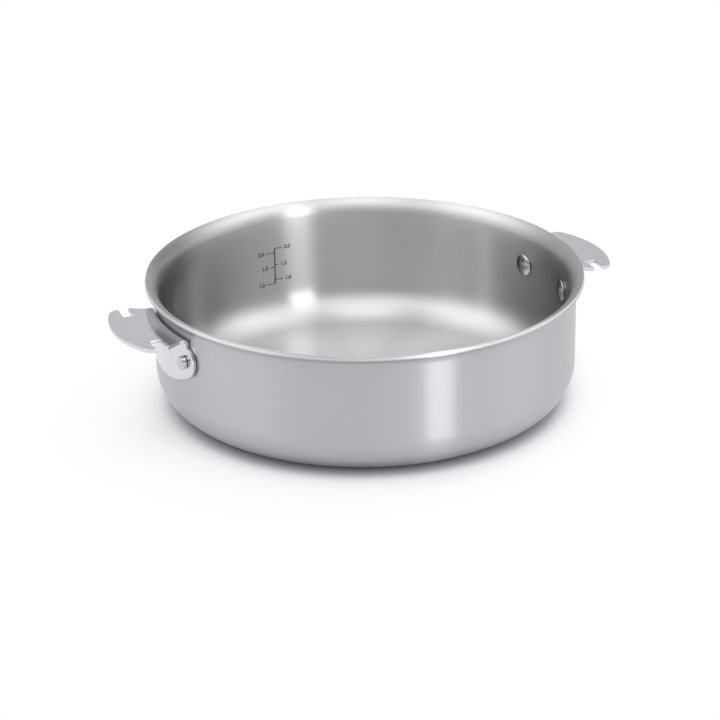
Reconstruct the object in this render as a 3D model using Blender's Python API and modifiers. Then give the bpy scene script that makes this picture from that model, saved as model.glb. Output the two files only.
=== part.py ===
"""Saute pan: a three-ply clad bowl with two riveted lugs for a clip-on handle.

Metres, +Z up. The origin is on the pan's axis, on the surface it stands on, and +X runs through the right lug.
"""

from math import acos, asin, atan2, ceil, cos, pi, radians, sin, sqrt

import bmesh
import bpy
from mathutils import Matrix

# Bowl
INNER_RADIUS = 0.1200
OVERALL_HEIGHT = 0.0762
INNER_PLY = 0.0005
CORE_PLY = 0.0015
OUTER_PLY = 0.0005
BOND_GAP = 0.0001
CORNER_RADIUS = 0.0240
RIM_BEND_RADIUS = 0.0058
RIM_BEND_ANGLE = radians(78)

# Lugs
LUG_SHEET = 0.0020
LUG_BEND_RADIUS = 0.0010
WING_TOP_BELOW_RIM = 0.0105
WING_OVERHANG = 0.0313
WING_EDGE_RADIUS = 0.0635
WING_HALF_WIDTH = 0.0321
LOBE_RADIUS = 0.0066
LOBE_DEPTH = 0.0125
NOTCH_WIDTH = 0.0058
NOTCH_TAPER = 0.0010
NOTCH_FLOOR_HALF_SPAN = 0.0200
UNDERCUT_DEPTH = 0.0017
UNDERCUT_HEIGHT = 0.0025
UNDERCUT_ROUND = 0.0005
TOOTH_FLARE = 0.0008
TOOTH_ROUND = 0.0008
NECK_HALF_WIDTH = 0.0270
NECK_FILLET = 0.0030
EAR_RADIUS = 0.0096
EARS_BELOW_BEND = 0.0015
BELLY_BELOW_EARS = 0.0060

# Rivets
RIVET_HALF_SPAN = 0.0240
SHANK_RADIUS = 0.0030
INNER_HEAD_RADIUS = 0.0064
INNER_HEAD_HEIGHT = 0.0017
INNER_HEAD_EDGE = 0.0005
OUTER_HEAD_RADIUS = 0.0039
OUTER_HEAD_HEIGHT = 0.0026
OUTER_HEAD_CHAMFER = 0.0008

# Fits
SEAT_GAP = 0.0003
HOLE_CLEARANCE = 0.0003

# Facets
BOWL_STEPS = 60
LUG_STEPS = 180
RIVET_STEPS = 24
CORNER_POINTS = 6
RIM_POINTS = 5
BEND_POINTS = 5
DOME_POINTS = 5
CHORD_ERROR = 0.00005
SMOOTH_BELOW = radians(30)
MERGE_DISTANCE = 1e-5
WELD_DISTANCE = 1e-7

# How far a trimming shape runs past what it trims
TRIM_MARGIN = 0.0100

# Sizes that follow
SHEET = INNER_PLY + CORE_PLY + OUTER_PLY + 2 * BOND_GAP
WALL_RADIUS = INNER_RADIUS + SHEET
RIM_BEND_START = OVERALL_HEIGHT - (RIM_BEND_RADIUS + SHEET) * sin(RIM_BEND_ANGLE)
STRAP_INNER = WALL_RADIUS + SEAT_GAP
STRAP_OUTER = STRAP_INNER + LUG_SHEET
STRAP_HALF_WIDTH = RIVET_HALF_SPAN + EAR_RADIUS
WING_TOP = OVERALL_HEIGHT - WING_TOP_BELOW_RIM
WING_UNDERSIDE = WING_TOP - LUG_SHEET
WING_REACH = WALL_RADIUS + WING_OVERHANG
LUG_BEND_START = WING_UNDERSIDE - LUG_BEND_RADIUS
LUG_BEND_LINE = STRAP_OUTER + LUG_BEND_RADIUS
BELLY_DROP = EAR_RADIUS + BELLY_BELOW_EARS
RIVET_HEIGHT = LUG_BEND_START - EARS_BELOW_BEND - EAR_RADIUS
TRIM_INSIDE = sqrt(STRAP_INNER**2 - STRAP_HALF_WIDTH**2) - TRIM_MARGIN
RIVET_ANGLE = asin(RIVET_HALF_SPAN / WALL_RADIUS)
HOLE_RADIUS = SHANK_RADIUS + HOLE_CLEARANCE

# Material: colour and roughness
STEEL = (0.62, 0.62, 0.63, 1.0)
ALUMINIUM = (0.78, 0.78, 0.79, 1.0)
FINISHES = {
    "outer_steel": (STEEL, 0.30),
    "core_aluminium": (ALUMINIUM, 0.40),
    "inner_steel": (STEEL, 0.28),
    "lug_steel": (STEEL, 0.12),
    "rivet_steel": (STEEL, 0.18),
}


def clear_scene():
    for obj in list(bpy.data.objects):
        bpy.data.objects.remove(obj, do_unlink=True)


def new_collection(name, shown=True):
    collection = bpy.data.collections.new(name)
    collection.hide_render = not shown
    bpy.context.scene.collection.children.link(collection)
    return collection


def metal(name):
    colour, roughness = FINISHES[name]
    material = bpy.data.materials.new(name)
    material.use_nodes = True
    shader = material.node_tree.nodes["Principled BSDF"]
    shader.inputs["Base Color"].default_value = colour
    shader.inputs["Metallic"].default_value = 1.0
    shader.inputs["Roughness"].default_value = roughness
    return material


def add_object(name, mesh, collection, material=None):
    obj = bpy.data.objects.new(name, mesh)
    if material:
        mesh.materials.append(material)
    collection.objects.link(obj)
    return obj


def helper(obj):
    """Marks a shape that only cuts or trims others."""
    obj.hide_render = True
    obj.display_type = "WIRE"
    return obj


def arc(centre, radius, start, end, points=None):
    """Points on a circle, both ends included. Without a count, the chords keep within CHORD_ERROR."""
    if points is None:
        step = 2 * acos(1 - CHORD_ERROR / radius)
        points = 1 + max(2, ceil(abs(end - start) / step))
    turn = (end - start) / (points - 1)
    angles = [start + i * turn for i in range(points - 1)] + [end]
    return [(centre[0] + radius * cos(a), centre[1] + radius * sin(a)) for a in angles]


def rounded(corners):
    """An outline from corners (x, y, radius), each rounded by an arc of its radius."""
    outline = []
    for i, (x, y, radius) in enumerate(corners):
        before = corners[i - 1]
        after = corners[(i + 1) % len(corners)]
        if not radius:
            outline.append((x, y))
            continue
        angle_in = atan2(before[1] - y, before[0] - x)
        angle_out = atan2(after[1] - y, after[0] - x)
        opening = (angle_out - angle_in + pi) % (2 * pi) - pi
        middle = angle_in + opening / 2
        to_centre = radius / abs(sin(opening / 2))
        centre = (x + to_centre * cos(middle), y + to_centre * sin(middle))
        turn = (pi - abs(opening)) * (1 if opening > 0 else -1)
        facing = middle + pi
        outline += arc(centre, radius, facing + turn / 2, facing - turn / 2)
    return outline


def mirrored(half):
    """A half outline that starts or ends on the middle line, and its mirror image in y."""
    return half + [(x, -y) for x, y in reversed(half[:-1])]


def turned(name, profile, steps, collection, material=None, closed=False):
    """A profile of (radius, height) points turned about Z. It runs down the outer side."""
    edges = [(i, i + 1) for i in range(len(profile) - 1)]
    if closed:
        edges.append((len(profile) - 1, 0))
    mesh = bpy.data.meshes.new(name)
    mesh.from_pydata([(r, 0, z) for r, z in profile], edges, [])
    obj = add_object(name, mesh, collection, material)
    screw = obj.modifiers.new("Turn", "SCREW")
    screw.steps = steps
    screw.render_steps = steps
    screw.use_merge_vertices = True
    screw.merge_threshold = MERGE_DISTANCE
    screw.use_smooth_shade = True
    return obj


def prism(name, outline, depth, collection):
    """A flat outline in its own XY plane, extruded by depth to both sides, as a welded mesh."""
    curve = bpy.data.curves.new(name, "CURVE")
    curve.dimensions = "2D"
    curve.fill_mode = "BOTH"
    curve.extrude = depth
    spline = curve.splines.new("POLY")
    spline.points.add(len(outline) - 1)
    for point, (x, y) in zip(spline.points, outline):
        point.co = (x, y, 0, 1)
    spline.use_cyclic_u = True
    source = bpy.data.objects.new(name, curve)
    collection.objects.link(source)
    graph = bpy.context.evaluated_depsgraph_get()
    mesh = bpy.data.meshes.new_from_object(source.evaluated_get(graph))
    bpy.data.objects.remove(source)
    shape = bmesh.new()
    shape.from_mesh(mesh)
    bmesh.ops.remove_doubles(shape, verts=shape.verts, dist=WELD_DISTANCE)
    bmesh.ops.recalc_face_normals(shape, faces=shape.faces)
    shape.to_mesh(mesh)
    shape.free()
    return helper(add_object(name, mesh, collection))


def boolean(obj, operation, other):
    modifier = obj.modifiers.new(f"{operation.title()} {other.name}", "BOOLEAN")
    modifier.operation = operation
    modifier.solver = "EXACT"
    modifier.object = other


def realised_mesh(obj, name):
    """The object's evaluated mesh, so that each copy can be turned without its cutters."""
    bpy.context.view_layer.update()
    graph = bpy.context.evaluated_depsgraph_get()
    mesh = bpy.data.meshes.new_from_object(obj.evaluated_get(graph))
    mesh.name = name
    mesh.shade_smooth()
    mesh.set_sharp_from_angle(angle=SMOOTH_BELOW)
    return mesh


def sheet_line(depth):
    """The bowl's line at this depth below its outer surface, from the base's centre out to the cut rim."""
    corner_centre = (WALL_RADIUS - CORNER_RADIUS, CORNER_RADIUS)
    rim_centre = (WALL_RADIUS + RIM_BEND_RADIUS, RIM_BEND_START)
    corner = arc(corner_centre, CORNER_RADIUS - depth, -pi / 2, 0, CORNER_POINTS)
    rim = arc(rim_centre, RIM_BEND_RADIUS + depth, pi, pi - RIM_BEND_ANGLE, RIM_POINTS)
    return [(0, depth)] + corner + rim


def bowl_layer(name, outer_depth, thickness, collection, material, cutters):
    inner_line = sheet_line(outer_depth + thickness)
    outer_line = sheet_line(outer_depth)
    layer = turned(name, inner_line + outer_line[::-1], BOWL_STEPS, collection, material)
    for cutter in cutters:
        boolean(layer, "DIFFERENCE", cutter)
    return layer


def wing_outline():
    """The wing in plan: from its neck round the hooked notch and the lobe to the middle of the outer edge."""
    edge_centre = (WING_REACH - WING_EDGE_RADIUS, 0)
    lobe_y = WING_HALF_WIDTH - LOBE_RADIUS
    to_lobe = WING_EDGE_RADIUS - LOBE_RADIUS
    lobe_angle = asin(lobe_y / to_lobe)
    lobe_x = edge_centre[0] + to_lobe * cos(lobe_angle)
    notch_out = WING_REACH - LOBE_DEPTH
    notch_in = notch_out - NOTCH_WIDTH
    tip_x = notch_out - NOTCH_TAPER
    tip_angle = acos((tip_x - lobe_x) / LOBE_RADIUS)
    corners = [
        (TRIM_INSIDE, NECK_HALF_WIDTH, 0),
        (LUG_BEND_LINE, NECK_HALF_WIDTH, NECK_FILLET),
        (notch_in - TOOTH_FLARE, WING_HALF_WIDTH, TOOTH_ROUND),
        (notch_in, NOTCH_FLOOR_HALF_SPAN + UNDERCUT_HEIGHT, 0),
        (notch_in - UNDERCUT_DEPTH, NOTCH_FLOOR_HALF_SPAN, UNDERCUT_ROUND),
        (notch_out, NOTCH_FLOOR_HALF_SPAN, 2 * UNDERCUT_ROUND),
        (tip_x, lobe_y + LOBE_RADIUS * sin(tip_angle), 0),
    ]
    lobe = arc((lobe_x, lobe_y), LOBE_RADIUS, tip_angle, lobe_angle)
    edge = arc(edge_centre, WING_EDGE_RADIUS, lobe_angle, 0)
    return mirrored(rounded(corners) + lobe[1:] + edge[1:])


def strap_outline():
    """The strap seen along X, with y across: a bottom edge that bows down between two round ears."""
    belly_radius = (BELLY_DROP**2 + RIVET_HALF_SPAN**2 - EAR_RADIUS**2) / (2 * BELLY_BELOW_EARS)
    belly_centre = RIVET_HEIGHT - BELLY_DROP + belly_radius
    ear_start = atan2(RIVET_HEIGHT - belly_centre, RIVET_HALF_SPAN)
    bottom = arc((0, belly_centre), belly_radius, -pi / 2, ear_start)
    ear = arc((RIVET_HALF_SPAN, RIVET_HEIGHT), EAR_RADIUS, ear_start, pi / 2)
    half = bottom[:-1] + ear
    return half + [(-y, z) for y, z in reversed(half[1:])]


def lug_blank(collection):
    """A turned ring with the strap's and the wing's section, which the outlines then trim."""
    bend_centre = (LUG_BEND_LINE, LUG_BEND_START)
    outside = arc(bend_centre, LUG_BEND_RADIUS + LUG_SHEET, pi, pi / 2, BEND_POINTS)
    inside = arc(bend_centre, LUG_BEND_RADIUS, pi, pi / 2, BEND_POINTS)
    bottom = RIVET_HEIGHT - BELLY_DROP - TRIM_MARGIN
    reach = WING_REACH + TRIM_MARGIN
    profile = [(STRAP_INNER, bottom)] + outside + [(reach, WING_TOP), (reach, WING_UNDERSIDE)]
    profile += inside[::-1] + [(STRAP_OUTER, bottom)]
    return helper(turned("lug_blank", profile, LUG_STEPS, collection, closed=True))


def lug_trim(collection):
    """The strap's outline, joined by the wing's outline, whose neck reaches down between the ears."""
    wing_depth = (WING_TOP - RIVET_HEIGHT) / 2 + LUG_BEND_RADIUS / 2
    wing = prism("wing_trim", wing_outline(), wing_depth, collection)
    wing.location.z = (WING_TOP + RIVET_HEIGHT) / 2
    trim_outside = LUG_BEND_LINE + TRIM_MARGIN
    strap = prism("strap_trim", strap_outline(), (trim_outside - TRIM_INSIDE) / 2, collection)
    strap_x = (trim_outside + TRIM_INSIDE) / 2
    strap.matrix_world = Matrix(((0, 0, 1, strap_x), (1, 0, 0, 0), (0, 1, 0, 0), (0, 0, 0, 1)))
    boolean(strap, "UNION", wing)
    return strap


def at_rivet(lug_angle, side):
    """Turns a shape on +Z to the radial line of the rivet on this side of the lug at this angle."""
    turn = Matrix.Rotation(lug_angle + side * RIVET_ANGLE, 4, "Z")
    return Matrix.Translation((0, 0, RIVET_HEIGHT)) @ turn @ Matrix.Rotation(pi / 2, 4, "Y")


def hole_cutter(name, lug_angle, side, collection):
    """A round bar through the wall and the lug."""
    shape = bmesh.new()
    bmesh.ops.create_cone(
        shape,
        cap_ends=True,
        segments=RIVET_STEPS,
        radius1=HOLE_RADIUS,
        radius2=HOLE_RADIUS,
        depth=STRAP_OUTER - INNER_RADIUS + 2 * TRIM_MARGIN,
        matrix=Matrix.Translation((0, 0, (STRAP_OUTER + INNER_RADIUS) / 2)),
    )
    mesh = bpy.data.meshes.new(name)
    shape.to_mesh(mesh)
    shape.free()
    cutter = helper(add_object(name, mesh, collection))
    cutter.matrix_world = at_rivet(lug_angle, side)
    return cutter


def rivet_profile():
    """(radius, distance from the pan's axis) points, from the set head outside to the dome inside."""
    inner_seat = sqrt(INNER_RADIUS**2 - INNER_HEAD_RADIUS**2) - SEAT_GAP
    outer_seat = STRAP_OUTER + SEAT_GAP
    outer_end = outer_seat + OUTER_HEAD_HEIGHT
    dome_rise = INNER_HEAD_HEIGHT - INNER_HEAD_EDGE
    dome_radius = (INNER_HEAD_RADIUS**2 + dome_rise**2) / (2 * dome_rise)
    dome_top = inner_seat - INNER_HEAD_HEIGHT
    dome_angle = asin(INNER_HEAD_RADIUS / dome_radius)
    dome = arc((0, dome_top + dome_radius), dome_radius, -pi / 2 + dome_angle, -pi / 2, DOME_POINTS)
    stem = [
        (0, outer_end),
        (OUTER_HEAD_RADIUS - OUTER_HEAD_CHAMFER, outer_end),
        (OUTER_HEAD_RADIUS, outer_end - OUTER_HEAD_CHAMFER),
        (OUTER_HEAD_RADIUS, outer_seat),
        (SHANK_RADIUS, outer_seat),
        (SHANK_RADIUS, inner_seat),
        (INNER_HEAD_RADIUS, inner_seat),
    ]
    return stem + dome[:-1] + [(0, dome_top)]


def build_bowl(pan, holes):
    depth = 0
    for name, thickness, finish in (
        ("outer_layer", OUTER_PLY, "outer_steel"),
        ("core_layer", CORE_PLY, "core_aluminium"),
        ("inner_layer", INNER_PLY, "inner_steel"),
    ):
        bowl_layer(name, depth, thickness, pan, metal(finish), holes)
        depth += thickness + BOND_GAP


def build_lugs(pan, cutters, lug_angles, lug_holes):
    """Both lugs are the same stamping, made at +X and turned to each side."""
    blank = lug_blank(cutters)
    boolean(blank, "INTERSECT", lug_trim(cutters))
    for hole in lug_holes:
        boolean(blank, "DIFFERENCE", hole)
    mesh = realised_mesh(blank, "lug")
    mesh.materials.clear()
    mesh.materials.append(metal("lug_steel"))
    for side, angle in lug_angles.items():
        add_object(f"{side}_lug", mesh, pan).rotation_euler.z = angle


def build():
    clear_scene()
    pan = new_collection("saute_pan")
    cutters = new_collection("cutters", shown=False)

    lug_angles = {"right": 0, "left": pi}
    # the pan's front is -Y, so a positive turn from the right lug's line goes to the back
    rivets = {("right", "front"): -1, ("right", "back"): 1, ("left", "front"): 1, ("left", "back"): -1}
    holes = {
        (lug, end): hole_cutter(f"{lug}_{end}_hole", lug_angles[lug], side, cutters)
        for (lug, end), side in rivets.items()
    }
    build_bowl(pan, holes.values())
    build_lugs(pan, cutters, lug_angles, [holes["right", "front"], holes["right", "back"]])
    rivet_steel = metal("rivet_steel")
    for (lug, end), side in rivets.items():
        rivet = turned(f"{lug}_{end}_rivet", rivet_profile(), RIVET_STEPS, pan, rivet_steel)
        rivet.matrix_world = at_rivet(lug_angles[lug], side)


build()
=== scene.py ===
"""Saute pan in a white studio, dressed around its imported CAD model.

Metres, in the part's own frame: +Z up on the pan's axis, and +X through the right lug.
"""

from math import acos, asin, atan2, ceil, cos, pi, radians, sin, sqrt

import bmesh
import bpy
from mathutils import Matrix, Vector


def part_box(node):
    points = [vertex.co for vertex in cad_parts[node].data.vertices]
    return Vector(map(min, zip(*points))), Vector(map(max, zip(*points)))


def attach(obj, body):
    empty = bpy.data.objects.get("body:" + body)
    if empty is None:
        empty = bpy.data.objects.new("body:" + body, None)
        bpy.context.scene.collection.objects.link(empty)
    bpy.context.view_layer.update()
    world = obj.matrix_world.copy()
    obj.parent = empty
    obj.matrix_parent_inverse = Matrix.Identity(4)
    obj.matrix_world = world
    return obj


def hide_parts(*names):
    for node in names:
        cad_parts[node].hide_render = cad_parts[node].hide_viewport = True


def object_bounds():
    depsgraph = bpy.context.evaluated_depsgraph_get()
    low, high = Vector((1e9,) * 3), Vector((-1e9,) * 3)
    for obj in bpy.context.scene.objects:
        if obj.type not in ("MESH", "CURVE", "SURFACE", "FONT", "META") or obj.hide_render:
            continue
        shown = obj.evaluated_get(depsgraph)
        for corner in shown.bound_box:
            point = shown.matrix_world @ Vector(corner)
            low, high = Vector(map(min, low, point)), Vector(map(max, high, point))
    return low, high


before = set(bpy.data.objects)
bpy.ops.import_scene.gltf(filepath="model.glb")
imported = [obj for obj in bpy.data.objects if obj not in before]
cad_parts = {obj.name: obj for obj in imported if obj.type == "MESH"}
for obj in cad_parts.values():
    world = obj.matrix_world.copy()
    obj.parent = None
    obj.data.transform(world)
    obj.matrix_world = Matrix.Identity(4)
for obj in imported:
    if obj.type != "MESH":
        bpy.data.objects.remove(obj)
CAD_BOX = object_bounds()

# Bowl
RIM_TOP = CAD_BOX[1].z
INNER_RADIUS = 0.1200
INNER_PLY = 0.0005
OUTER_PLY = 0.0005
SHEET = 0.0027
BOND_GAP = 0.0001
BOND_LINE = 0.00003
CORNER_RADIUS = 0.0240
RIM_BEND_RADIUS = 0.0058
RIM_BEND_ANGLE = radians(78)
RIM_EDGE_ROUND = 0.00014

# Lugs
LUG_SHEET = 0.0020
LUG_BEND_RADIUS = 0.0010
WING_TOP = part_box("right_lug")[1].z
WING_REACH = CAD_BOX[1].x
WING_EDGE_RADIUS = 0.0635
WING_HALF_WIDTH = 0.0321
LOBE_RADIUS = 0.0066
LOBE_DEPTH = 0.0125
NOTCH_WIDTH = 0.0058
NOTCH_TAPER = 0.0010
NOTCH_FLOOR_HALF_SPAN = 0.0200
UNDERCUT_DEPTH = 0.0017
UNDERCUT_HEIGHT = 0.0025
UNDERCUT_ROUND = 0.0005
TOOTH_FLARE = 0.0008
TOOTH_ROUND = 0.0008
NECK_HALF_WIDTH = 0.0270
NECK_FILLET = 0.0030
EAR_RADIUS = 0.0096
EARS_BELOW_BEND = 0.0015
EAR_CORNER_ROUND = 0.0005
BELLY_BELOW_EARS = 0.0060
STAMPED_EDGE_ROUND = 0.00022

# Rivets
RIVET_HALF_SPAN = 0.0240
SHANK_RADIUS = 0.0030
HOLE_CLEARANCE = 0.0003
SEAT_GAP = 0.0003
INNER_HEAD_RADIUS = 0.0064
INNER_HEAD_HEIGHT = 0.0017
INNER_HEAD_EDGE = 0.0005
OUTER_HEAD_RADIUS = 0.0039
OUTER_HEAD_HEIGHT = 0.0026
OUTER_HEAD_CHAMFER = 0.0008
RIVET_EDGE_ROUND = 0.00015

# Sizes that follow
WALL_RADIUS = INNER_RADIUS + SHEET
RIM_BEND_START = RIM_TOP - (RIM_BEND_RADIUS + SHEET) * sin(RIM_BEND_ANGLE)
STRAP_INNER = WALL_RADIUS + SEAT_GAP
STRAP_OUTER = STRAP_INNER + LUG_SHEET
WING_UNDERSIDE = WING_TOP - LUG_SHEET
LUG_BEND_START = WING_UNDERSIDE - LUG_BEND_RADIUS
LUG_BEND_LINE = STRAP_OUTER + LUG_BEND_RADIUS
LUG_MIDDLE_BEND = LUG_BEND_RADIUS + LUG_SHEET / 2
LUG_BEND_LENGTH = LUG_MIDDLE_BEND * pi / 2
RIVET_HEIGHT = LUG_BEND_START - EARS_BELOW_BEND - EAR_RADIUS
RIVET_ANGLE = asin(RIVET_HALF_SPAN / WALL_RADIUS)
HOLE_RADIUS = SHANK_RADIUS + HOLE_CLEARANCE

# Fineness
BOWL_STEPS = 240
CORNER_POINTS = 22
RIM_POINTS = 16
RIVET_STEPS = 72
CHORD_ERROR = 0.000004
STRAP_SLICE = 0.0012
BEND_SLICES = 10
SMOOTH_BELOW = radians(38)
SHARP_ABOVE = radians(40)
ROUNDED_EDGE_SEGMENTS = 3
DOME_POINTS = 16
MERGE_DISTANCE = 1e-6

# Camera, fitted to the photograph's frame of 720 by 720 pixels
IMAGE_PIXELS = 720
FOCAL_PIXELS = 2675.57
SENSOR_MM = 36.0
CAMERA_AZIMUTH = radians(-114.55)
CAMERA_REACH = 1.44554
CAMERA_HEIGHT = 0.64206
AIM_ACROSS = -0.00326
AIM_HEIGHT = 0.02005
CAMERA_ROLL = radians(-0.749)

# Measuring scale on the inner wall, each mark as (height, length of the line, number)
SCALE_ANGLE = radians(93.1)
RIGHT_MARKS = [(0.0503, 0.0050, "2.0"), (0.0394, 0.0026, "1.5"), (0.0295, 0.0054, "1.0")]
LEFT_MARKS = [(0.0476, 0.0062, "2.0"), (0.0379, 0.0034, "1.5"), (0.0270, 0.0060, "1.0")]
INK_FILM = 0.00003
INK_SLICE = 0.0010
INK_LINE = 0.00055
UPRIGHT_LINE = 0.0009
HAIR = 0.00002
NUMBER_SIZE = 0.0034
NUMBER_WEIGHT = 0.00014
NUMBER_GAP = 0.0014

# Brushing of the bowl, each noise as (scale round the turn, lines per metre across it)
FINE_BRUSHING = (1.5, 1200.0)
BROAD_BRUSHING = (3.0, 300.0)
BROAD_SHARE = 0.6
BRUSHING_ROUGHNESS = 0.6
LINES_IN_ROUGHNESS = 0.3
LINES_IN_TONE = 0.2
ROUND_THE_PAN = 0.25
OUTER_ROUGHNESS = 0.29
CORE_ROUGHNESS = 0.40
INNER_ROUGHNESS = 0.28
OUTER_LINES = 0.04
CORE_LINES = 0.15
INNER_LINES = 0.03
# the inside is coarser by so much on the floor and at the rim, and passes into the wall between these heights
FLOOR_COARSER = 0.05
FLOOR_FINISH = (0.004, 0.018)
RIM_COARSER = 0.075
RIM_FINISH = (0.060, 0.070)

# Polish of the lugs and the rivets, and the print
NOISE_MIDDLE = (0.3, 0.7)
HAZE_SCALE = 220.0
HAZE_DETAIL = 4.0
HAZE_ROUGHNESS = (-0.03, 0.04)
HAZE_TONE = 0.97
WAVE_SCALE = 90.0
WAVE_STRENGTH = 0.15
WAVE_HEIGHT = 0.00005
LUG_ROUGHNESS = 0.11
RIVET_ROUGHNESS = 0.12
INK_SCALE = 900.0
INK_THIN_BETWEEN = (0.35, 0.65)
INK_THIN_TONE = 1.3
INK_ROUGHNESS = (0.45, 0.6)

# Colours, in linear light
INNER_STEEL = (0.57, 0.565, 0.568)
# the blue in this steel is painted reflection of bluish surroundings, over the steel's own colour
OUTER_STEEL = (0.50, 0.495, 0.522)
CORE_ALUMINIUM = (0.69, 0.69, 0.705)
# the blue in this steel is painted reflection of bluish surroundings, over the steel's own colour
LUG_STEEL = (0.69, 0.685, 0.725)
RIVET_STEEL = (0.58, 0.577, 0.58)
INK = (0.08, 0.08, 0.08)
# the floor's colour in its shade, darker and bluer than its white: painted shade
FLOOR_PAINTED_SHADE = (0.80, 0.795, 0.87)
FLOOR_BOUNCE = (0.70, 0.70, 0.70)
SURROUND = (1.0, 1.0, 1.0)

# Floor, with each painted shade as (reach, openness where darkest, openness where it ends, light left at its
# darkest)
FLOOR_SIZE = 12
CLOSE_PAINTED_SHADE = (0.055, 0.20, 0.70, 0.0)
WIDE_PAINTED_SHADE = (0.14, 0.45, 0.76, 0.85)
# the wide painted shade falls on the side that this points away from
WIDE_PAINTED_SHADE_LEAN = (0.575, 0.177, 0.0)
SHADE_SAMPLES = 8

# Studio light, where 1 is white
# the tent's rings, lowest first: sine of the elevation, and brightness at every 30 degrees of the way round,
# from the back by the camera's left, the front and the camera's right
TENT_RINGS = [
    (0.00, [0.40, 0.55, 1.45, 2.45, 2.05, 1.15, 1.05, 2.40, 2.00, 2.65, 1.85, 1.00]),
    (0.35, [0.75, 0.60, 0.25, 0.65, 0.70, 0.05, 0.15, 0.05, 0.25, 0.60, 0.05, 0.20]),
    (0.70, [0.40, 0.90, 1.95, 2.25, 1.75, 1.40, 1.15, 1.25, 1.35, 2.25, 1.80, 0.60]),
]
# and over the rings, where it is the same all round: sine of the elevation, and brightness
TENT_HIGH = [(0.86, 2.5), (0.91, 2.2), (0.971, 0.95), (0.997, 3.4)]
FILL_LOW = 0.20
FILL_TOP = 0.60
STRIP_FROM_CAMERA = radians(38.3)
STRIP_REACH = 4.0
STRIP_HEIGHT = 1.4
STRIP_SIZE = (1.06, 2.8)
STRIP_RADIANCE = 3.9
OVERHEAD_PLACE = (0.1, 0.0)
OVERHEAD_HEIGHT = 1.6
OVERHEAD_SIZE = (1.6, 1.6)
OVERHEAD_RADIANCE = 2.3


def new_mesh_object(name, mesh, material=None):
    obj = bpy.data.objects.new(name, mesh)
    bpy.context.scene.collection.objects.link(obj)
    if material:
        mesh.materials.append(material)
    return obj


def arc(centre, radius, start, end, points=None):
    """Points on a circle, both ends included. Without a count, the chords keep within CHORD_ERROR."""
    if points is None:
        step = 2 * acos(1 - CHORD_ERROR / radius)
        points = 1 + max(2, ceil(abs(end - start) / step))
    turn = (end - start) / (points - 1)
    angles = [start + i * turn for i in range(points - 1)] + [end]
    return [(centre[0] + radius * cos(a), centre[1] + radius * sin(a)) for a in angles]


def rounded(corners, closed=True):
    """A line from corners (x, y, radius), each rounded by an arc of its radius."""
    line = []
    for i, (x, y, radius) in enumerate(corners):
        if not radius or (not closed and i in (0, len(corners) - 1)):
            line.append((x, y))
            continue
        before = corners[i - 1]
        after = corners[(i + 1) % len(corners)]
        angle_in = atan2(before[1] - y, before[0] - x)
        angle_out = atan2(after[1] - y, after[0] - x)
        opening = (angle_out - angle_in + pi) % (2 * pi) - pi
        middle = angle_in + opening / 2
        to_centre = radius / abs(sin(opening / 2))
        centre = (x + to_centre * cos(middle), y + to_centre * sin(middle))
        turn = (pi - abs(opening)) * (1 if opening > 0 else -1)
        facing = middle + pi
        line += arc(centre, radius, facing + turn / 2, facing - turn / 2)
    return line


def realised(obj):
    """The object with its modifiers applied to its mesh, shaded smooth but for its sharp edges."""
    bpy.context.view_layer.update()
    graph = bpy.context.evaluated_depsgraph_get()
    mesh = bpy.data.meshes.new_from_object(obj.evaluated_get(graph))
    mesh.name = obj.name
    obj.modifiers.clear()
    obj.data = mesh
    mesh.shade_smooth()
    mesh.set_sharp_from_angle(angle=SMOOTH_BELOW)
    return obj


def even_faces(obj):
    """Flat faces keep their own normal beside a rounded edge."""
    weighted = obj.modifiers.new("Even faces", "WEIGHTED_NORMAL")
    weighted.keep_sharp = True
    return obj


def turned(name, profile, steps, material=None, edge_round=0.0):
    """A profile of (radius, height) points turned about Z, with its sharp edges rounded."""
    mesh = bpy.data.meshes.new(name)
    mesh.from_pydata([(r, 0, z) for r, z in profile], [(i, i + 1) for i in range(len(profile) - 1)], [])
    obj = new_mesh_object(name, mesh, material)
    screw = obj.modifiers.new("Turn", "SCREW")
    screw.steps = screw.render_steps = steps
    screw.use_merge_vertices = True
    screw.merge_threshold = MERGE_DISTANCE
    if edge_round:
        bevel = obj.modifiers.new("Rounded edges", "BEVEL")
        bevel.width = edge_round
        bevel.segments = ROUNDED_EDGE_SEGMENTS
        bevel.limit_method = "ANGLE"
        bevel.angle_limit = SHARP_ABOVE
    return obj


def at_rivet(lug_angle, side):
    """Turns a shape on +Z to the radial line of the rivet on this side of the lug at this angle."""
    turn = Matrix.Rotation(lug_angle + side * RIVET_ANGLE, 4, "Z")
    return Matrix.Translation((0, 0, RIVET_HEIGHT)) @ turn @ Matrix.Rotation(pi / 2, 4, "Y")


def sheet_line(depth):
    """The bowl's line at this depth below its outer surface, from the base's centre out to the cut rim."""
    corner_centre = (WALL_RADIUS - CORNER_RADIUS, CORNER_RADIUS)
    rim_centre = (WALL_RADIUS + RIM_BEND_RADIUS, RIM_BEND_START)
    corner = arc(corner_centre, CORNER_RADIUS - depth, -pi / 2, 0, CORNER_POINTS)
    rim = arc(rim_centre, RIM_BEND_RADIUS + depth, pi, pi - RIM_BEND_ANGLE, RIM_POINTS)
    return [(0, depth)] + corner + rim


LUG_ANGLES = {"right": 0, "left": pi}
# the pan's front is -Y, so a positive turn from the right lug's line goes to the back
RIVETS = {("right", "front"): -1, ("right", "back"): 1, ("left", "front"): 1, ("left", "back"): -1}


def hole_cutter(lug_angle, side):
    length = 4 * EAR_RADIUS
    shape = bmesh.new()
    bmesh.ops.create_cone(
        shape,
        cap_ends=True,
        segments=RIVET_STEPS,
        radius1=HOLE_RADIUS,
        radius2=HOLE_RADIUS,
        depth=length,
        matrix=Matrix.Translation((0, 0, WALL_RADIUS)),
    )
    mesh = bpy.data.meshes.new("hole")
    shape.to_mesh(mesh)
    shape.free()
    cutter = new_mesh_object("hole", mesh)
    cutter.matrix_world = at_rivet(lug_angle, side)
    return cutter


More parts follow.
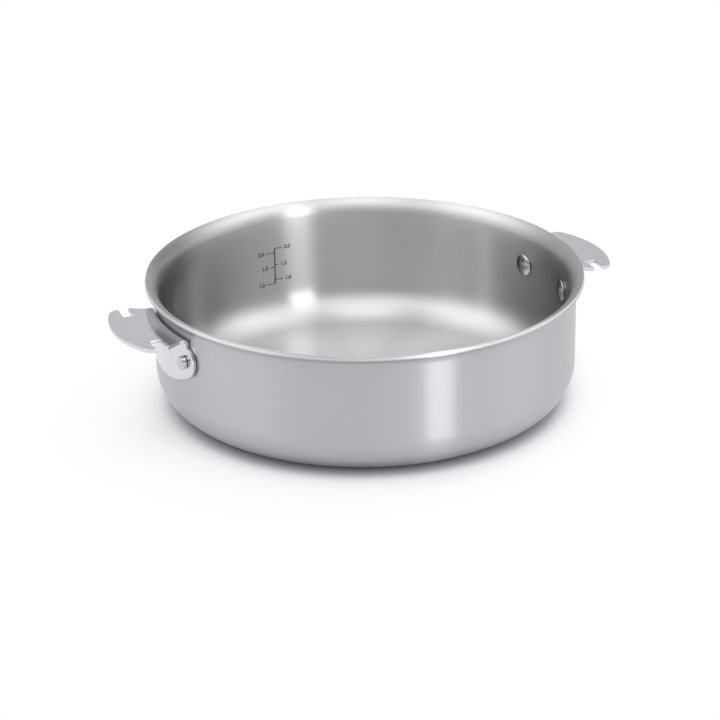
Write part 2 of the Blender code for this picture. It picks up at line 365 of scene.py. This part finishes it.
def build_bowl(finishes):
    cutters = [hole_cutter(LUG_ANGLES[lug], side) for (lug, end), side in RIVETS.items()]
    layers = (
        ("outer_layer", "outer_steel", 0, OUTER_PLY),
        ("core_layer", "core_aluminium", OUTER_PLY + BOND_LINE, SHEET - INNER_PLY - BOND_LINE),
        ("inner_layer", "inner_steel", SHEET - INNER_PLY, SHEET),
    )
    for node, slot, outer_depth, inner_depth in layers:
        profile = sheet_line(inner_depth) + sheet_line(outer_depth)[::-1]
        name = f"{node.split('_')[0]}_sheet"
        sheet = turned(name, profile, BOWL_STEPS, finishes[node], RIM_EDGE_ROUND)
        for cutter in cutters:
            cut = sheet.modifiers.new("Rivet hole", "BOOLEAN")
            cut.operation = "DIFFERENCE"
            cut.solver = "EXACT"
            cut.object = cutter
        realised(sheet)
        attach(even_faces(sheet), "root")
        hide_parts(node)
    for cutter in cutters:
        bpy.data.objects.remove(cutter)


def wing_half():
    """The wing in plan on its +Y side, from its neck by the notch and the lobe to the outer edge's middle."""
    edge_centre = (WING_REACH - WING_EDGE_RADIUS, 0)
    lobe_y = WING_HALF_WIDTH - LOBE_RADIUS
    to_lobe = WING_EDGE_RADIUS - LOBE_RADIUS
    lobe_angle = asin(lobe_y / to_lobe)
    lobe_x = edge_centre[0] + to_lobe * cos(lobe_angle)
    notch_out = WING_REACH - LOBE_DEPTH
    notch_in = notch_out - NOTCH_WIDTH
    tip_x = notch_out - NOTCH_TAPER
    tip_angle = acos((tip_x - lobe_x) / LOBE_RADIUS)
    neck_x = sqrt(LUG_BEND_LINE**2 - NECK_HALF_WIDTH**2)
    corners = [
        (neck_x, NECK_HALF_WIDTH, 0),
        (LUG_BEND_LINE, NECK_HALF_WIDTH, NECK_FILLET),
        (notch_in - TOOTH_FLARE, WING_HALF_WIDTH, TOOTH_ROUND),
        (notch_in, NOTCH_FLOOR_HALF_SPAN + UNDERCUT_HEIGHT, 0),
        (notch_in - UNDERCUT_DEPTH, NOTCH_FLOOR_HALF_SPAN, UNDERCUT_ROUND),
        (notch_out, NOTCH_FLOOR_HALF_SPAN, 2 * UNDERCUT_ROUND),
        (tip_x, lobe_y + LOBE_RADIUS * sin(tip_angle), 0),
    ]
    lobe = arc((lobe_x, lobe_y), LOBE_RADIUS, tip_angle, lobe_angle)
    edge = arc(edge_centre, WING_EDGE_RADIUS, lobe_angle, 0)
    return rounded(corners, closed=False) + lobe[1:] + edge[1:]


def strap_half():
    """The strap on its +Y side as (y, z), from its bowed bottom edge's middle round the ear to the neck."""
    belly_drop = EAR_RADIUS + BELLY_BELOW_EARS
    belly_radius = (belly_drop**2 + RIVET_HALF_SPAN**2 - EAR_RADIUS**2) / (2 * BELLY_BELOW_EARS)
    belly_centre = RIVET_HEIGHT - belly_drop + belly_radius
    ear_start = atan2(RIVET_HEIGHT - belly_centre, RIVET_HALF_SPAN)
    ear_end = acos((NECK_HALF_WIDTH - RIVET_HALF_SPAN) / EAR_RADIUS)
    bottom = arc((0, belly_centre), belly_radius, -pi / 2, ear_start)
    ear = arc((RIVET_HALF_SPAN, RIVET_HEIGHT), EAR_RADIUS, ear_start, ear_end)
    return bottom[:-1] + ear


def blank_outline():
    """The flat blank as (s, y): s runs up the sheet's middle from the bend's start, and y is across."""
    strap = [(z - LUG_BEND_START, y) for y, z in strap_half()]
    ear_end = strap.pop()
    neck = [(*strap[-1], 0), (*ear_end, EAR_CORNER_ROUND), (LUG_BEND_LENGTH, NECK_HALF_WIDTH, 0)]
    wing = [(LUG_BEND_LENGTH + x - sqrt(LUG_BEND_LINE**2 - y**2), y) for x, y in wing_half()]
    half = strap[:-1] + rounded(neck, closed=False)[:-1] + wing
    return half + [(s, -y) for s, y in half[-2:0:-1]]


def bent(s, y, t):
    """Where a point of the flat blank goes; t is its height over the sheet's middle, to the wing's top."""
    half = LUG_SHEET / 2
    if s > LUG_BEND_LENGTH:
        return (sqrt(LUG_BEND_LINE**2 - y**2) + s - LUG_BEND_LENGTH, y, WING_UNDERSIDE + half + t)
    turn = max(s, 0) / LUG_MIDDLE_BEND
    radius = LUG_BEND_LINE - (LUG_MIDDLE_BEND + t) * cos(turn)
    outside_radius = LUG_BEND_LINE - (LUG_MIDDLE_BEND - half) * cos(turn)
    angle = asin(y / outside_radius)
    height = LUG_BEND_START + min(s, 0) + (LUG_MIDDLE_BEND + t) * sin(turn)
    return (radius * cos(angle), radius * sin(angle), height)


def stamped_lug():
    """The lug's mesh at +X: the flat blank with rounded edges and two holes, sliced and bent to shape."""
    curve = bpy.data.curves.new("lug", "CURVE")
    curve.dimensions = "2D"
    curve.fill_mode = "BOTH"
    curve.extrude = LUG_SHEET / 2 - STAMPED_EDGE_ROUND
    curve.bevel_depth = STAMPED_EDGE_ROUND
    curve.bevel_resolution = 2
    curve.offset = -STAMPED_EDGE_ROUND
    hole_y = STRAP_OUTER * sin(RIVET_ANGLE)
    hole_s = RIVET_HEIGHT - LUG_BEND_START
    holes = [arc((hole_s, side * hole_y), HOLE_RADIUS, 0, -2 * pi, RIVET_STEPS + 1)[:-1] for side in (-1, 1)]
    for outline in [blank_outline()] + holes:
        spline = curve.splines.new("POLY")
        spline.points.add(len(outline) - 1)
        for point, (s, y) in zip(spline.points, outline):
            point.co = (s, y, 0, 1)
        spline.use_cyclic_u = True
    source = bpy.data.objects.new("lug", curve)
    bpy.context.scene.collection.objects.link(source)
    graph = bpy.context.evaluated_depsgraph_get()
    mesh = bpy.data.meshes.new_from_object(source.evaluated_get(graph))
    bpy.data.objects.remove(source)

    shape = bmesh.new()
    shape.from_mesh(mesh)
    bmesh.ops.remove_doubles(shape, verts=shape.verts, dist=MERGE_DISTANCE)
    bmesh.ops.recalc_face_normals(shape, faces=shape.faces)
    across = RIVET_HALF_SPAN + EAR_RADIUS
    slices = ceil(2 * across / STRAP_SLICE)
    cuts = [((0, -across + 2 * across * i / slices, 0), (0, 1, 0)) for i in range(1, slices)]
    cuts += [((LUG_BEND_LENGTH * i / BEND_SLICES, 0, 0), (1, 0, 0)) for i in range(BEND_SLICES + 1)]
    for point, normal in cuts:
        everything = shape.verts[:] + shape.edges[:] + shape.faces[:]
        bmesh.ops.bisect_plane(shape, geom=everything, dist=MERGE_DISTANCE, plane_co=point, plane_no=normal)
    for vert in shape.verts:
        vert.co = bent(*vert.co)
    bmesh.ops.recalc_face_normals(shape, faces=shape.faces)
    shape.to_mesh(mesh)
    shape.free()
    mesh.shade_smooth()
    mesh.set_sharp_from_angle(angle=SMOOTH_BELOW)
    return mesh


def build_lugs(material):
    mesh = stamped_lug()
    mesh.materials.clear()
    mesh.materials.append(material)
    for side, angle in LUG_ANGLES.items():
        lug = new_mesh_object(f"{side}_stamped_lug", mesh)
        lug.rotation_euler.z = angle
        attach(even_faces(lug), "root")
        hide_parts(f"{side}_lug")


def rivet_profile():
    """(radius, distance from the pan's axis) points, from the set head outside to the dome inside."""
    inner_seat = sqrt(INNER_RADIUS**2 - INNER_HEAD_RADIUS**2) - SEAT_GAP
    outer_seat = STRAP_OUTER + SEAT_GAP
    outer_end = outer_seat + OUTER_HEAD_HEIGHT
    dome_rise = INNER_HEAD_HEIGHT - INNER_HEAD_EDGE
    dome_radius = (INNER_HEAD_RADIUS**2 + dome_rise**2) / (2 * dome_rise)
    dome_top = inner_seat - INNER_HEAD_HEIGHT
    dome_angle = asin(INNER_HEAD_RADIUS / dome_radius)
    dome = arc((0, dome_top + dome_radius), dome_radius, -pi / 2 + dome_angle, -pi / 2, DOME_POINTS)
    stem = [
        (0, outer_end),
        (OUTER_HEAD_RADIUS - OUTER_HEAD_CHAMFER, outer_end),
        (OUTER_HEAD_RADIUS, outer_end - OUTER_HEAD_CHAMFER),
        (OUTER_HEAD_RADIUS, outer_seat),
        (SHANK_RADIUS, outer_seat),
        (SHANK_RADIUS, inner_seat),
        (INNER_HEAD_RADIUS, inner_seat),
    ]
    return stem + dome[:-1] + [(0, dome_top)]


def build_rivets(material):
    for (lug, end), side in RIVETS.items():
        name = f"{lug}_{end}_rivet"
        rivet = turned(f"{name}_fine", rivet_profile(), RIVET_STEPS, material, RIVET_EDGE_ROUND)
        realised(rivet)
        rivet.matrix_world = at_rivet(LUG_ANGLES[lug], side)
        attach(even_faces(rivet), "root")
        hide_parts(name)


def scale_film(name, material):
    """The measuring scale printed on the inner wall: one mesh of thin closed films, bent round the wall."""
    shape = bmesh.new()
    for x0, x1, z0, z1 in scale_lines():
        middle = Matrix.Translation(((x0 + x1) / 2, (z0 + z1) / 2, 0))
        size = Matrix.Diagonal((x1 - x0, z1 - z0, INK_FILM, 1))
        bmesh.ops.create_cube(shape, size=1, matrix=middle @ size)
    for words, x, z, align in scale_numbers():
        curve = bpy.data.curves.new("number", "FONT")
        curve.body = words
        curve.size = NUMBER_SIZE
        curve.align_x = align
        curve.align_y = "CENTER"
        curve.extrude = INK_FILM / 2
        curve.offset = NUMBER_WEIGHT
        source = bpy.data.objects.new("number", curve)
        bpy.context.scene.collection.objects.link(source)
        graph = bpy.context.evaluated_depsgraph_get()
        letters = bpy.data.meshes.new_from_object(source.evaluated_get(graph))
        letters.transform(Matrix.Translation((x, z, 0)))
        bpy.data.objects.remove(source)
        shape.from_mesh(letters)
        bpy.data.meshes.remove(letters)
    bmesh.ops.remove_doubles(shape, verts=shape.verts, dist=MERGE_DISTANCE)
    reach = max(abs(vert.co.x) for vert in shape.verts)
    for i in range(-ceil(reach / INK_SLICE), ceil(reach / INK_SLICE) + 1):
        everything = shape.verts[:] + shape.edges[:] + shape.faces[:]
        cut = (i * INK_SLICE, 0, 0)
        bmesh.ops.bisect_plane(shape, geom=everything, dist=MERGE_DISTANCE, plane_co=cut, plane_no=(1, 0, 0))
    for vert in shape.verts:
        x, z, depth = vert.co
        angle = SCALE_ANGLE - x / INNER_RADIUS
        radius = INNER_RADIUS - INK_FILM / 2 - depth
        vert.co = (radius * cos(angle), radius * sin(angle), z)
    bmesh.ops.recalc_face_normals(shape, faces=shape.faces)
    mesh = bpy.data.meshes.new(name)
    shape.to_mesh(mesh)
    shape.free()
    return new_mesh_object(name, mesh, material)


def scale_lines():
    """(left, right, low, high) of each printed line, seen from inside and measured from the upright."""
    half = INK_LINE / 2
    heights = [mark[0] for mark in RIGHT_MARKS + LEFT_MARKS]
    lines = [(-UPRIGHT_LINE / 2, UPRIGHT_LINE / 2, min(heights) - half, max(heights) + half)]
    for height, length, _ in RIGHT_MARKS:
        lines.append((UPRIGHT_LINE / 2 + HAIR, length, height - half, height + half))
    for height, length, _ in LEFT_MARKS:
        lines.append((-length, -UPRIGHT_LINE / 2 - HAIR, height - half, height + half))
    return lines


def scale_numbers():
    """(number, place across, height, side that it starts from) for each mark."""
    right = [(number, length + NUMBER_GAP, height, "LEFT") for height, length, number in RIGHT_MARKS]
    left = [(number, -length - NUMBER_GAP, height, "RIGHT") for height, length, number in LEFT_MARKS]
    return right + left


def build_scale(material):
    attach(scale_film("measuring_scale", material), "root")


class Shader:
    """A material's node tree, with short ways to add nodes to it."""

    def __init__(self, tree):
        self.tree = tree

    def add(self, kind, inputs=None, **settings):
        node = self.tree.nodes.new(kind)
        for name, value in settings.items():
            setattr(node, name, value)
        for name, value in (inputs or {}).items():
            self.put(node.inputs[name], value)
        return node

    def put(self, socket, value):
        if isinstance(value, bpy.types.NodeSocket):
            self.tree.links.new(value, socket)
        else:
            socket.default_value = value

    def math(self, operation, *values):
        return self.add("ShaderNodeMath", dict(enumerate(values)), operation=operation).outputs[0]

    def vector(self, operation, *values):
        return self.add("ShaderNodeVectorMath", dict(enumerate(values)), operation=operation).outputs[0]

    def spread(self, value, low, high, to_low, to_high, smooth=False):
        kind = "SMOOTHSTEP" if smooth else "LINEAR"
        inputs = {"Value": value, "From Min": low, "From Max": high, "To Min": to_low, "To Max": to_high}
        return self.add("ShaderNodeMapRange", inputs, interpolation_type=kind).outputs[0]

    def blend(self, factor, first, second):
        """Between two numbers."""
        return self.add("ShaderNodeMix", {0: factor, 2: first, 3: second}, data_type="FLOAT").outputs[0]

    def tint(self, factor, first, second):
        """Between two colours."""
        inputs = {0: factor, 6: (*first, 1.0), 7: (*second, 1.0)}
        return self.add("ShaderNodeMix", inputs, data_type="RGBA").outputs[2]


def new_material(name):
    material = bpy.data.materials.new(name)
    material.use_nodes = True
    shader = Shader(material.node_tree)
    return material, shader, material.node_tree.nodes["Principled BSDF"]


def turned_place(shader):
    """(cos, sin, radius + height) of a point about Z: the last runs along a turned profile."""
    place = shader.add("ShaderNodeTexCoord").outputs["Object"]
    xyz = shader.add("ShaderNodeSeparateXYZ", {0: place})
    x, y, z = (xyz.outputs[axis] for axis in "XYZ")
    squares = (shader.math("MULTIPLY", axis, axis) for axis in (x, y))
    radius = shader.math("SQRT", shader.math("ADD", *squares))
    safe = shader.math("MAXIMUM", radius, 1e-5)
    return shader.math("DIVIDE", x, safe), shader.math("DIVIDE", y, safe), shader.math("ADD", radius, z)


def brush_noise(shader, place, along, across):
    """Noise drawn out round the turn: along is its scale that way, and across its lines per metre."""
    cosine, sine, sweep = place
    vector = shader.add(
        "ShaderNodeCombineXYZ",
        {
            "X": shader.math("MULTIPLY", cosine, along),
            "Y": shader.math("MULTIPLY", sine, along),
            "Z": shader.math("MULTIPLY", sweep, across),
        },
    ).outputs[0]
    inputs = {"Vector": vector, "Scale": 1.0, "Detail": 1.0, "Roughness": BRUSHING_ROUGHNESS}
    return shader.add("ShaderNodeTexNoise", inputs).outputs["Fac"]


def turned_metal(name, colour, roughness, anisotropy, lines, at_floor=0.0, at_rim=0.0):
    """Metal brushed on a lathe: lines all round, and coarser by so much at the floor and at the rim."""
    material, shader, surface = new_material(name)
    place = turned_place(shader)
    fine = brush_noise(shader, place, *FINE_BRUSHING)
    broad = brush_noise(shader, place, *BROAD_BRUSHING)
    surface.inputs["Metallic"].default_value = 1.0
    surface.inputs["Anisotropic"].default_value = anisotropy
    surface.inputs["Anisotropic Rotation"].default_value = ROUND_THE_PAN
    tangent = shader.add("ShaderNodeTangent", direction_type="RADIAL", axis="Z")
    shader.put(surface.inputs["Tangent"], tangent.outputs[0])
    both = shader.blend(BROAD_SHARE, fine, broad)
    swing = LINES_IN_ROUGHNESS * lines
    grain = shader.spread(both, *NOISE_MIDDLE, roughness * (1 - swing), roughness * (1 + swing))
    object_place = shader.add("ShaderNodeTexCoord").outputs["Object"]
    height = shader.add("ShaderNodeSeparateXYZ", {0: object_place}).outputs["Z"]
    floor = shader.spread(height, *FLOOR_FINISH, at_floor, 0.0, smooth=True)
    rim = shader.spread(height, *RIM_FINISH, 0.0, at_rim, smooth=True)
    shader.put(surface.inputs["Roughness"], shader.math("ADD", grain, shader.math("ADD", floor, rim)))
    tone = shader.spread(both, *NOISE_MIDDLE, 0.0, 1.0)
    dark = [(1 - LINES_IN_TONE * lines) * c for c in colour]
    shader.put(surface.inputs["Base Color"], shader.tint(tone, dark, colour))
    return material


def place_noise(shader, place, scale, detail):
    inputs = {"Vector": place, "Scale": scale, "Detail": detail}
    return shader.add("ShaderNodeTexNoise", inputs).outputs["Fac"]


def polished_steel(name, colour, roughness):
    """Tumbled and polished sheet: faint waviness and a soft haze of fine scratches."""
    material, shader, surface = new_material(name)
    place = shader.add("ShaderNodeTexCoord").outputs["Object"]
    haze = place_noise(shader, place, HAZE_SCALE, HAZE_DETAIL)
    wave = place_noise(shader, place, WAVE_SCALE, 1.0)
    surface.inputs["Metallic"].default_value = 1.0
    clear, hazy = (roughness + change for change in HAZE_ROUGHNESS)
    shader.put(surface.inputs["Roughness"], shader.spread(haze, *NOISE_MIDDLE, clear, hazy))
    haze_tone = shader.spread(haze, *NOISE_MIDDLE, 0.0, 1.0)
    shader.put(surface.inputs["Base Color"], shader.tint(haze_tone, colour, [HAZE_TONE * c for c in colour]))
    bump = shader.add("ShaderNodeBump", {"Height": wave, "Strength": WAVE_STRENGTH, "Distance": WAVE_HEIGHT})
    shader.put(surface.inputs["Normal"], bump.outputs[0])
    return material


def printed_ink(name, colour):
    """A matt baked ink, a little thin in places."""
    material, shader, surface = new_material(name)
    place = shader.add("ShaderNodeTexCoord").outputs["Object"]
    cover = place_noise(shader, place, INK_SCALE, 2.0)
    thin = shader.spread(cover, *INK_THIN_BETWEEN, 0.0, 1.0)
    shader.put(surface.inputs["Base Color"], shader.tint(thin, colour, [INK_THIN_TONE * c for c in colour]))
    shader.put(surface.inputs["Roughness"], shader.spread(cover, *NOISE_MIDDLE, *INK_ROUGHNESS))
    return material


def painted_floor_shade(shader, reach, darkest, ending, left, leaning=None):
    """Painted light on the floor, from what is left where the object closes it in within this reach, up to 1:
    ambient occlusion, not a lamp, shapes this shade.
    """
    inputs = {"Distance": reach}
    if leaning is not None:
        inputs["Normal"] = leaning
    openness = shader.add("ShaderNodeAmbientOcclusion", inputs, samples=SHADE_SAMPLES).outputs["AO"]
    return shader.spread(openness, darkest, ending, left, 1.0, smooth=True)


def build_floor():
    """A white sweep that darkens only by the object, in painted shade from ambient occlusion: close under it,
    and faintly wide on one side, where the lamp-lit floor shows instead of the white.
    """
    bpy.ops.mesh.primitive_grid_add(x_subdivisions=2, y_subdivisions=2, size=FLOOR_SIZE)
    floor = bpy.context.object
    floor.name = "floor"
    material, shader, surface = new_material("floor_white")
    path = shader.add("ShaderNodeLightPath")
    seen = shader.math("MAXIMUM", path.outputs["Is Camera Ray"], path.outputs["Is Transmission Ray"])
    seen = shader.math("MAXIMUM", seen, path.outputs["Is Glossy Ray"])
    # camera and mirrored rays see the floor in its painted shade colour
    diffuse = shader.add("ShaderNodeBsdfDiffuse", {"Color": shader.tint(seen, FLOOR_BOUNCE, FLOOR_PAINTED_SHADE)})
    white = shader.add("ShaderNodeEmission", {"Strength": 1.0})
    upright = shader.add("ShaderNodeNewGeometry").outputs["Normal"]
    leaning = shader.vector("NORMALIZE", shader.vector("ADD", upright, WIDE_PAINTED_SHADE_LEAN))
    # painted shade: ambient occlusion decides where the lamp-lit floor shows instead of the glowing white
    close = painted_floor_shade(shader, *CLOSE_PAINTED_SHADE)
    wide = painted_floor_shade(shader, *WIDE_PAINTED_SHADE, leaning)
    painted_light = shader.math("MULTIPLY", close, wide)
    both = shader.add("ShaderNodeMixShader", {0: shader.math("MULTIPLY", painted_light, seen)})
    shader.put(both.inputs[1], diffuse.outputs[0])
    shader.put(both.inputs[2], white.outputs[0])
    output = material.node_tree.nodes["Material Output"]
    shader.put(output.inputs["Surface"], both.outputs[0])
    material.node_tree.nodes.remove(surface)
    floor.data.materials.append(material)


def tent_ring(shader, place, stops):
    """Brightness round one ring of the tent, where place runs from 0 at the back once round to 1."""
    ring = shader.add("ShaderNodeValToRGB", {"Fac": place})
    ring.color_ramp.interpolation = "EASE"
    elements = ring.color_ramp.elements
    while len(elements) < len(stops) + 1:
        elements.new(0.5)
    for i, brightness in enumerate(stops + stops[:1]):
        elements[i].position = i / len(stops)
        elements[i].color = (brightness, brightness, brightness, 1.0)
    return ring.outputs["Color"]


def build_surround():
    """White behind the object, a graded tent round it that only mirrored rays see, and a soft fill."""
    world = bpy.data.worlds.new("studio")
    bpy.context.scene.world = world
    world.use_nodes = True
    shader = Shader(world.node_tree)
    direction = shader.add("ShaderNodeTexCoord").outputs["Generated"]
    rise = shader.add("ShaderNodeSeparateXYZ", {0: direction}).outputs["Z"]
    front = (cos(CAMERA_AZIMUTH), sin(CAMERA_AZIMUTH), 0.0)
    right = (-front[1], front[0], 0.0)
    along, across = (
        shader.add("ShaderNodeVectorMath", {0: direction, 1: axis}, operation="DOT_PRODUCT").outputs["Value"]
        for axis in (front, right)
    )
    place = shader.spread(shader.math("ARCTAN2", across, along), -pi, pi, 0.0, 1.0)
    height, stops = TENT_RINGS[0]
    tent = tent_ring(shader, place, stops)
    for next_height, stops in TENT_RINGS[1:]:
        step = shader.spread(rise, height, next_height, 0.0, 1.0, smooth=True)
        tent = shader.blend(step, tent, tent_ring(shader, place, stops))
        height = next_height
    for next_height, level in TENT_HIGH:
        tent = shader.blend(shader.spread(rise, height, next_height, 0.0, 1.0, smooth=True), tent, level)
        height = next_height
    fill = shader.spread(rise, 0.0, 1.0, FILL_LOW, FILL_TOP)
    path = shader.add("ShaderNodeLightPath")
    mirrored = shader.math("MAXIMUM", path.outputs["Is Glossy Ray"], path.outputs["Is Transmission Ray"])
    strength = shader.blend(path.outputs["Is Camera Ray"], shader.blend(mirrored, fill, tent), 1.0)
    background = world.node_tree.nodes["Background"]
    background.inputs["Color"].default_value = (*SURROUND, 1.0)
    shader.put(background.inputs["Strength"], strength)


def build_lamp(name, place, target, size, radiance, in_gloss):
    """A rectangular lamp of this radiance, where 1 is white, that lights either gloss or diffuse."""
    light = bpy.data.lights.new(name, "AREA")
    light.shape = "RECTANGLE"
    light.size, light.size_y = size
    light.energy = radiance * pi * size[0] * size[1]
    lamp = bpy.data.objects.new(name, light)
    bpy.context.scene.collection.objects.link(lamp)
    aim(lamp, place, target)
    lamp.visible_camera = False
    lamp.visible_diffuse = not in_gloss
    lamp.visible_glossy = in_gloss


def build_studio():
    build_floor()
    build_surround()
    strip_angle = CAMERA_AZIMUTH + STRIP_FROM_CAMERA
    strip = (STRIP_REACH * cos(strip_angle), STRIP_REACH * sin(strip_angle), STRIP_HEIGHT)
    overhead = (*OVERHEAD_PLACE, OVERHEAD_HEIGHT)
    build_lamp("strip_lamp", strip, (0, 0, STRIP_HEIGHT), STRIP_SIZE, STRIP_RADIANCE, in_gloss=True)
    build_lamp("overhead_lamp", overhead, (0, 0, 0), OVERHEAD_SIZE, OVERHEAD_RADIANCE, in_gloss=False)


def aim(obj, place, target, roll=0.0):
    """Puts obj at place with its -Z towards target, turned by roll about that line."""
    facing = (Vector(target) - Vector(place)).to_track_quat("-Z", "Y")
    obj.matrix_world = Matrix.Translation(place) @ facing.to_matrix().to_4x4() @ Matrix.Rotation(roll, 4, "Z")


def build_camera():
    camera_data = bpy.data.cameras.new("camera")
    camera_data.sensor_width = SENSOR_MM
    camera_data.lens = FOCAL_PIXELS * SENSOR_MM / IMAGE_PIXELS
    camera = bpy.data.objects.new("camera", camera_data)
    bpy.context.scene.collection.objects.link(camera)
    out = Vector((cos(CAMERA_AZIMUTH), sin(CAMERA_AZIMUTH), 0))
    across = Vector((-out.y, out.x, 0))
    place = out * CAMERA_REACH + Vector((0, 0, CAMERA_HEIGHT))
    target = across * AIM_ACROSS + Vector((0, 0, AIM_HEIGHT))
    aim(camera, place, target, CAMERA_ROLL)
    bpy.context.scene.camera = camera


build_camera()
build_studio()
build_bowl(
    {
        "outer_layer": turned_metal("outer_steel_finish", OUTER_STEEL, OUTER_ROUGHNESS, 1.0, OUTER_LINES),
        "core_layer": turned_metal("core_finish", CORE_ALUMINIUM, CORE_ROUGHNESS, 0.5, CORE_LINES),
        "inner_layer": turned_metal(
            "inner_steel_finish", INNER_STEEL, INNER_ROUGHNESS, 1.0, INNER_LINES, FLOOR_COARSER, RIM_COARSER
        ),
    }
)
build_lugs(polished_steel("lug_finish", LUG_STEEL, LUG_ROUGHNESS))
build_rivets(polished_steel("rivet_finish", RIVET_STEEL, RIVET_ROUGHNESS))
build_scale(printed_ink("scale_ink", INK))

bpy.context.scene.view_settings.view_transform = "Standard"
